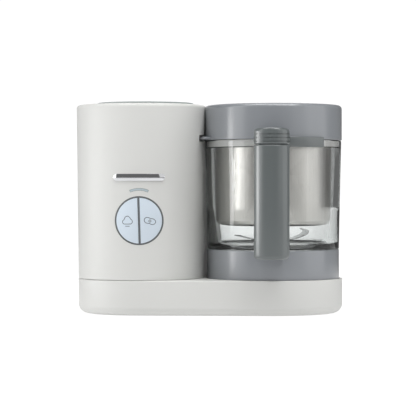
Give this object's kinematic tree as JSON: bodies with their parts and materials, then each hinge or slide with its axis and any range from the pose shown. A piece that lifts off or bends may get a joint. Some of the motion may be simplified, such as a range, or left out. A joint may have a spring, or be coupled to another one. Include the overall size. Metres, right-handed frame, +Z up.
{
  "type": "baby food maker",
  "caption": "Countertop steamer and blender for baby food: white tower with lift-out water tank and two half-moon buttons beside a lidded glass bowl with a steel basket and handle.",
  "frame": {"origin": "bottom centre of the whole appliance's bounding box, on the worktop", "axes": "+X from the tower towards the bowl, -Y towards the user and the buttons, +Z up"},
  "size_m": [0.3182, 0.2107, 0.251],
  "materials": {
    "white_plastic": "smooth satin white moulding",
    "inner_white": "plain moulded",
    "blue_grey": "satin blue-grey moulding",
    "grip_grey": "fine matt texture",
    "pale_blue": "satin, slightly translucent",
    "dark_plastic": "matt",
    "rubber": "matt",
    "silicone": "matt translucent silicone",
    "stainless": "brushed",
    "chrome": "polished",
    "motor_iron": "plain",
    "bearing_brass": "turned",
    "aluminium": "cast",
    "clear_glass": "clear, polished",
    "lens": "translucent",
    "circuit_board": "printed circuit board"
  },
  "bodies": {
    "housing": {"base_housing": "white_plastic", "bottom_cover": "inner_white", "foot_rear_left": "rubber", "foot_front_left": "rubber", "foot_rear_right": "rubber", "foot_front_right": "rubber", "cover_screw_1": "stainless", "cover_screw_2": "stainless", "cover_screw_3": "stainless", "cover_screw_4": "stainless", "cord_gland": "rubber", "tower_shell": "white_plastic", "control_bezel": "dark_plastic", "accent_bar": "chrome", "indicator_lens": "lens", "tank_well": "inner_white", "control_board": "circuit_board", "power_board": "circuit_board", "interlock_switch": "dark_plastic", "inner_frame": "inner_white", "boiler_body": "aluminium", "boiler_cover": "inner_white", "heating_element": "motor_iron", "thermostat": "dark_plastic", "feed_hose": "silicone", "steam_hose": "silicone", "steam_outlet": "silicone", "motor_plate": "motor_iron", "motor_stator": "motor_iron", "motor_bracket": "motor_iron", "drive_belt": "rubber", "spindle_bearing": "bearing_brass"},
    "rotor": {"motor_shaft": "stainless", "motor_rotor": "motor_iron", "cooling_fan": "dark_plastic", "motor_pulley": "stainless"},
    "spindle": {"driven_pulley": "dark_plastic", "drive_spindle": "stainless", "drive_dog": "grip_grey"},
    "bowl": {"jar_glass": "clear_glass", "jar_collar": "blue_grey", "jar_gasket": "rubber", "handle_grip": "grip_grey", "blade_bearing": "bearing_brass", "basket_body": "stainless", "basket_rim": "white_plastic"},
    "blade": {"blade_wings": "stainless", "blade_hub": "dark_plastic", "blade_coupling": "stainless"},
    "lid": {"lid_cover": "blue_grey", "lid_liner": "inner_white", "lid_seal": "silicone"},
    "tank": {"tank_cup": "inner_white"},
    "tank_cap": {"tank_cap": "grip_grey"},
    "tank_valve": {"tank_valve": "silicone"},
    "steam_button": {"steam_button": "pale_blue"},
    "blend_button": {"blend_button": "pale_blue"},
    "interlock_plunger": {"interlock_plunger": "grip_grey"}
  },
  "joints": [
    {"name": "steam_button_press", "type": "slide", "parent": "housing", "child": "steam_button", "axis": [0, 1, 0], "range_m": [0, 0.0015], "stiffness_N_per_m": 600, "springref_m": -0.001},
    {"name": "blend_button_press", "type": "slide", "parent": "housing", "child": "blend_button", "axis": [0, 1, 0], "range_m": [0, 0.0015], "stiffness_N_per_m": 600, "springref_m": -0.001},
    {"name": "bowl_turn", "type": "hinge", "parent": "housing", "child": "bowl", "pos_m": [0.0761, 0.02255, 0.036], "axis": [0, 0, 1], "range_deg": [0, 20]},
    {"name": "lid_turn", "type": "hinge", "parent": "bowl", "child": "lid", "pos_m": [0.0761, 0.02255, 0.206], "axis": [0, 0, 1], "range_deg": [0, 25]},
    {"name": "motor_spin", "type": "hinge", "parent": "housing", "child": "rotor", "pos_m": [-0.08185, 0.02255, 0.05], "axis": [0, 0, 1], "continuous": true},
    {"name": "drive_spin", "type": "hinge", "parent": "housing", "child": "spindle", "pos_m": [0.0761, 0.02255, 0.03], "axis": [0, 0, 1], "continuous": true},
    {"name": "blade_spin", "type": "hinge", "parent": "bowl", "child": "blade", "pos_m": [0.0761, 0.02255, 0.06], "axis": [0, 0, 1], "continuous": true},
    {"name": "tank_lift", "type": "slide", "parent": "housing", "child": "tank", "axis": [0, 0, 1], "range_m": [0, 0.06]},
    {"name": "tank_cap_open", "type": "hinge", "parent": "tank", "child": "tank_cap", "pos_m": [-0.07685, 0.06805, 0.24915], "axis": [-1, 0, 0], "range_deg": [0, 90]},
    {"name": "tank_valve_drop", "type": "slide", "parent": "tank", "child": "tank_valve", "axis": [0, 0, 1], "range_m": [-0.0018, 0]},
    {"name": "interlock_plunger_slide", "type": "slide", "parent": "housing", "child": "interlock_plunger", "axis": [0.9863, 0.165, 0], "range_m": [0, 0.0025]}
  ],
  "couplings": [
    {"joint": "drive_spin", "follows": "motor_spin", "ratio": 0.25},
    {"joint": "blade_spin", "follows": "motor_spin", "ratio": 0.25},
    {"joint": "tank_valve_drop", "follows": "tank_lift", "ratio": -0.03},
    {"joint": "interlock_plunger_slide", "follows": "lid_turn", "m_per_rad": 0.0057295}
  ]
}
